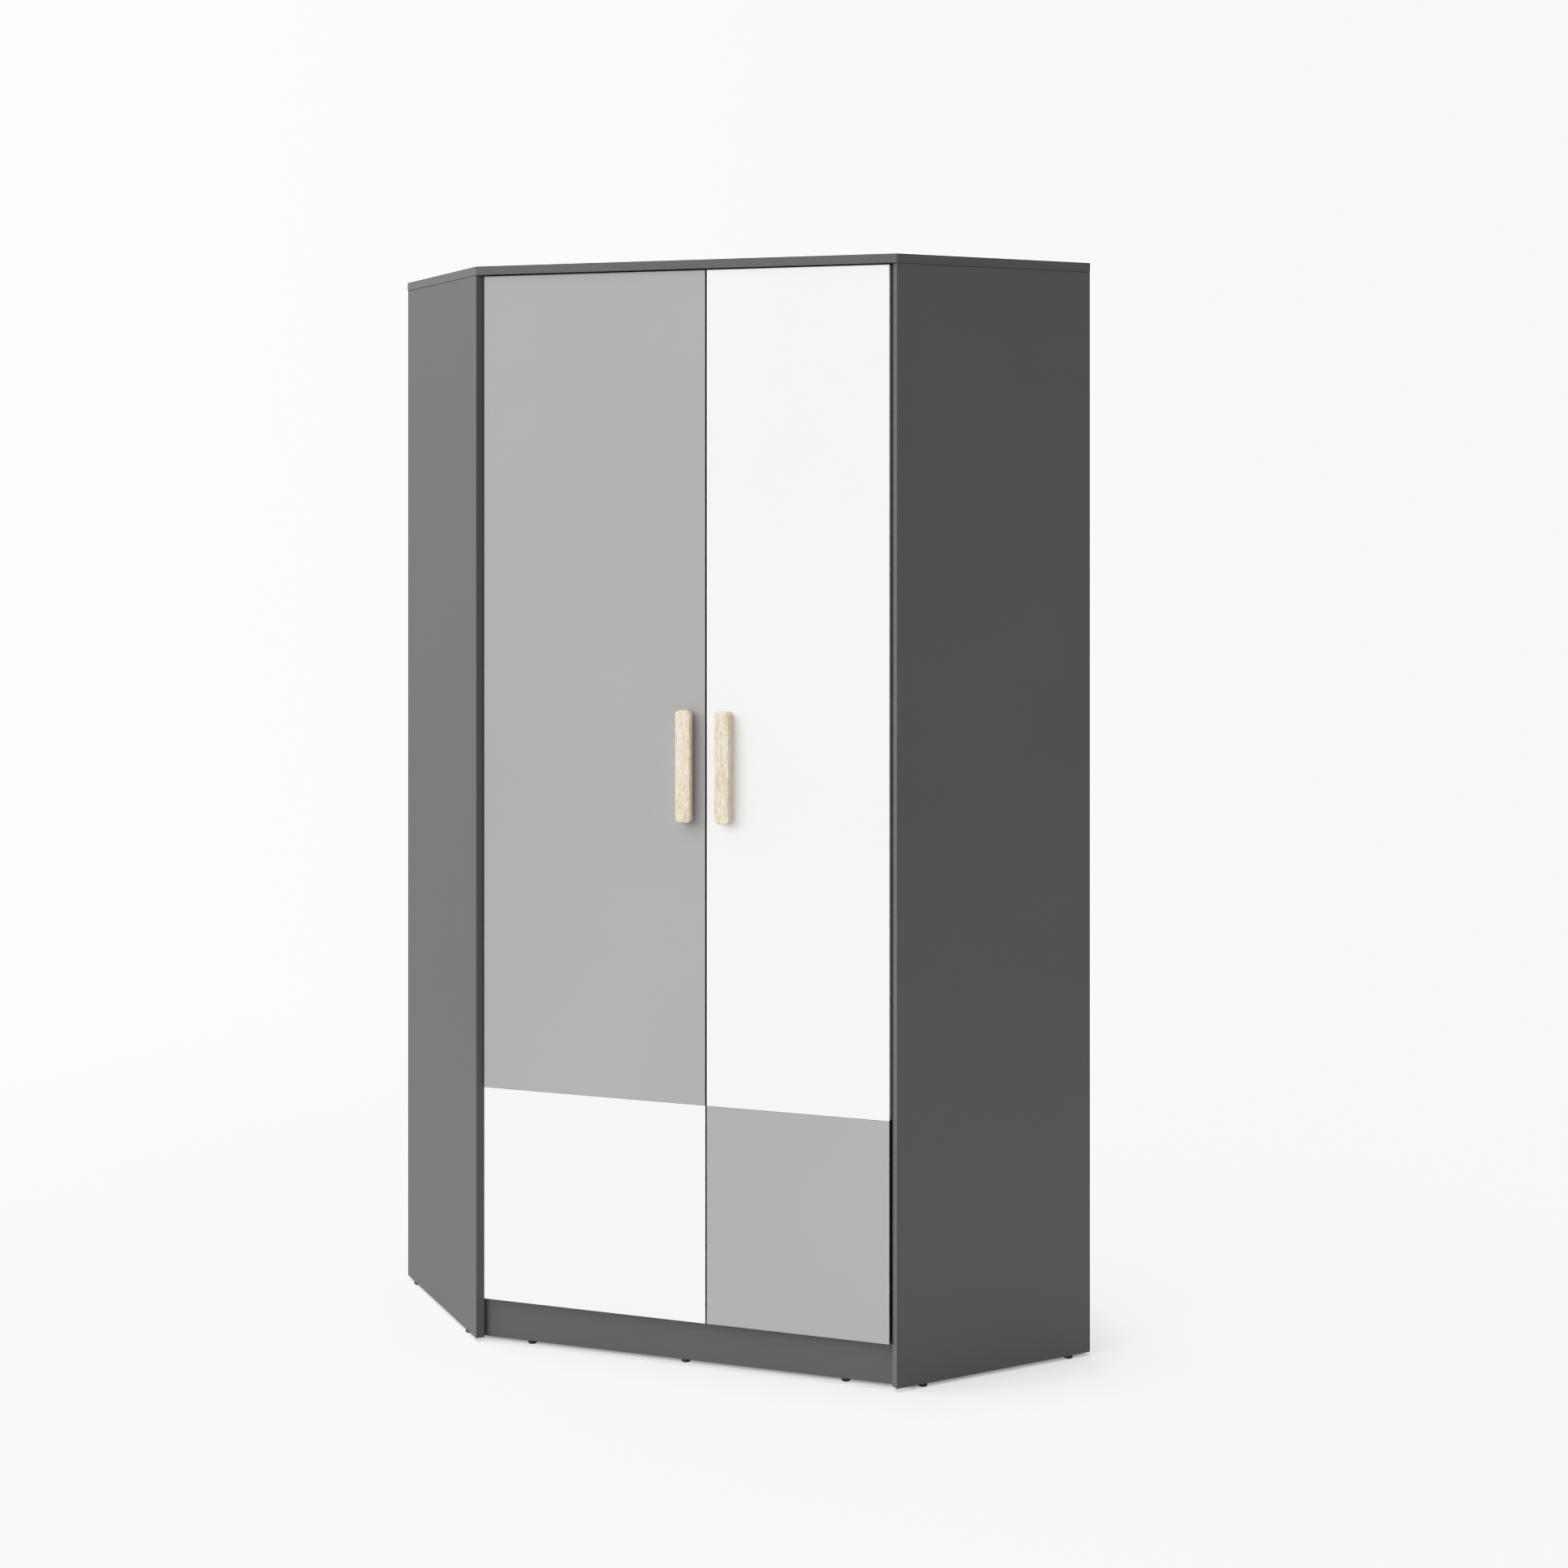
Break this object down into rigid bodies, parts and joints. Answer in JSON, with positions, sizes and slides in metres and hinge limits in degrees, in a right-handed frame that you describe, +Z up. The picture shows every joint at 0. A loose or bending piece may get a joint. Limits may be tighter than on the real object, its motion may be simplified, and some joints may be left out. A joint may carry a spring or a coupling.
{
  "type": "corner wardrobe",
  "caption": "Tall corner wardrobe with a diagonal front and two-tone hinged doors, upright bar handles, a hanging rail and shelves inside.",
  "frame": {"origin": "on the floor, at the centre of the square that the wardrobe stands in", "axes": "+Z up; the room's two walls lie against the +X and the +Y side, so the rear corner is at +X +Y and the diagonal front with its doors faces -X -Y"},
  "size_m": [0.956, 0.956, 1.95],
  "materials": {
    "carcass_laminate": "matt graphite melamine-faced board",
    "door_grey": "matt light grey melamine-faced board",
    "door_white": "satin white melamine-faced board",
    "back_board": "thin fibreboard, raw outside and white inside",
    "handle_wood": "pale hardwood, fine upright grain, clear matt lacquer",
    "glide_plastic": "black moulded plastic",
    "hinge_steel": "nickel-plated steel",
    "rail_steel": "bright chromed steel"
  },
  "bodies": {
    "carcass": {"left_side_panel": "carcass_laminate", "right_side_panel": "carcass_laminate", "rear_stile_left": "carcass_laminate", "rear_stile_right": "carcass_laminate", "top_board": "carcass_laminate", "bottom_board": "carcass_laminate", "plinth_board": "carcass_laminate", "partition_panel": "carcass_laminate", "hat_shelf": "carcass_laminate", "side_shelf_1": "carcass_laminate", "side_shelf_2": "carcass_laminate", "side_shelf_3": "carcass_laminate", "side_shelf_4": "carcass_laminate", "back_panel_left": "back_board", "back_panel_right": "back_board", "hanging_rail": "rail_steel", "rail_bracket_left": "rail_steel", "rail_bracket_right": "rail_steel", "foot_left_front": "glide_plastic", "foot_left_rear": "glide_plastic", "foot_right_front": "glide_plastic", "foot_right_rear": "glide_plastic", "foot_rear_corner": "glide_plastic", "foot_plinth_left": "glide_plastic", "foot_plinth_middle": "glide_plastic", "foot_plinth_right": "glide_plastic", "left_door_hinge_1_arm": "hinge_steel", "left_door_hinge_2_arm": "hinge_steel", "left_door_hinge_3_arm": "hinge_steel", "left_door_hinge_4_arm": "hinge_steel", "left_door_hinge_1_plate": "hinge_steel", "left_door_hinge_2_plate": "hinge_steel", "left_door_hinge_3_plate": "hinge_steel", "left_door_hinge_4_plate": "hinge_steel", "right_door_hinge_1_arm": "hinge_steel", "right_door_hinge_2_arm": "hinge_steel", "right_door_hinge_3_arm": "hinge_steel", "right_door_hinge_4_arm": "hinge_steel", "right_door_hinge_1_plate": "hinge_steel", "right_door_hinge_2_plate": "hinge_steel", "right_door_hinge_3_plate": "hinge_steel", "right_door_hinge_4_plate": "hinge_steel"},
    "left_door": {"left_door_upper_board": "door_grey", "left_door_lower_board": "door_white", "left_door_joining_plate": "hinge_steel", "left_door_handle": "handle_wood", "left_door_hinge_1_cup": "hinge_steel", "left_door_hinge_2_cup": "hinge_steel", "left_door_hinge_3_cup": "hinge_steel", "left_door_hinge_4_cup": "hinge_steel"},
    "right_door": {"right_door_upper_board": "door_white", "right_door_lower_board": "door_grey", "right_door_joining_plate": "hinge_steel", "right_door_handle": "handle_wood", "right_door_hinge_1_cup": "hinge_steel", "right_door_hinge_2_cup": "hinge_steel", "right_door_hinge_3_cup": "hinge_steel", "right_door_hinge_4_cup": "hinge_steel"}
  },
  "joints": [
    {"name": "left_door_hinge", "type": "hinge", "parent": "carcass", "child": "left_door", "pos_m": [-0.45518, 0.07439, 1.0055], "axis": [0, 0, -1], "range_deg": [0, 95]},
    {"name": "right_door_hinge", "type": "hinge", "parent": "carcass", "child": "right_door", "pos_m": [0.07439, -0.45518, 1.0055], "axis": [0, 0, 1], "range_deg": [0, 95]}
  ]
}
